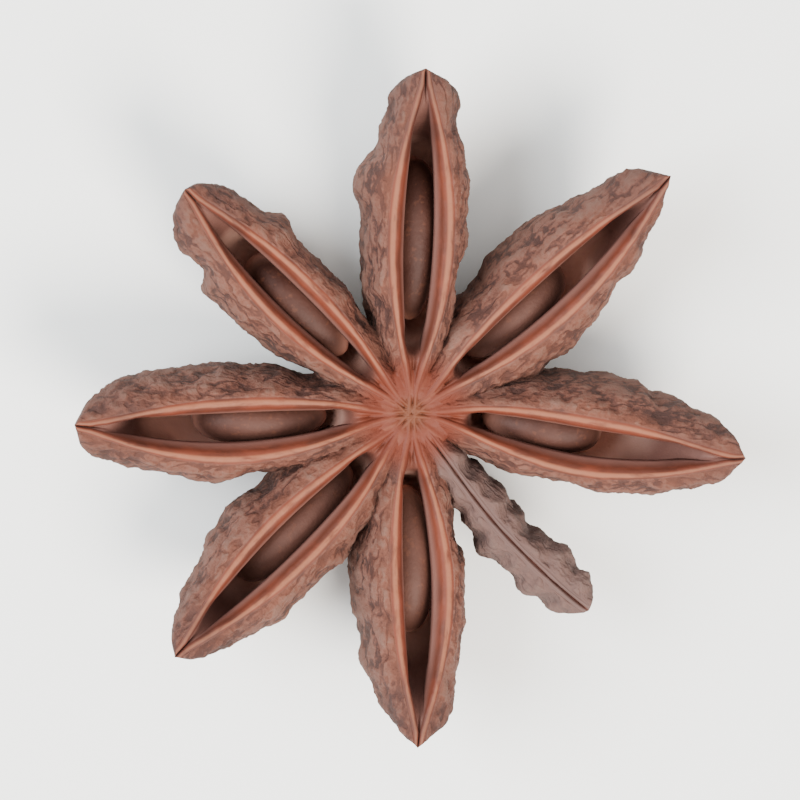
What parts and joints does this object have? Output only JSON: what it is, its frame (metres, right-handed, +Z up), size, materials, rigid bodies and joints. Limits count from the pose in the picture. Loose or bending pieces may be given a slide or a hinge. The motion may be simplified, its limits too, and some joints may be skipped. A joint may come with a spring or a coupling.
{
  "type": "star anise pod",
  "caption": "Whole dried star-shaped spice fruit: woody boat-shaped carpels fused round a hub, split open along the top over flat glossy seeds, lying open side up.",
  "frame": {"origin": "bottom centre of the bounding box, on the surface that the keels rest on", "axes": "+Z up, out of the split side of the fruit; +Y near enough along the carpel called north; +X to the right of it, seen from above"},
  "size_m": [0.0342, 0.0344, 0.0086],
  "materials": {
    "pericarp": "dry rough red-brown woody fruit wall, wrinkled and grey-brown outside, smoother orange-brown lips",
    "seed": "smooth glossy chestnut-brown seed coat"
  },
  "bodies": {
    "root": {"pod": "pericarp", "seed_east": "seed", "seed_northeast": "seed", "seed_north": "seed", "seed_northwest": "seed", "seed_west": "seed", "seed_southwest": "seed", "seed_south": "seed"}
  },
  "joints": []
}
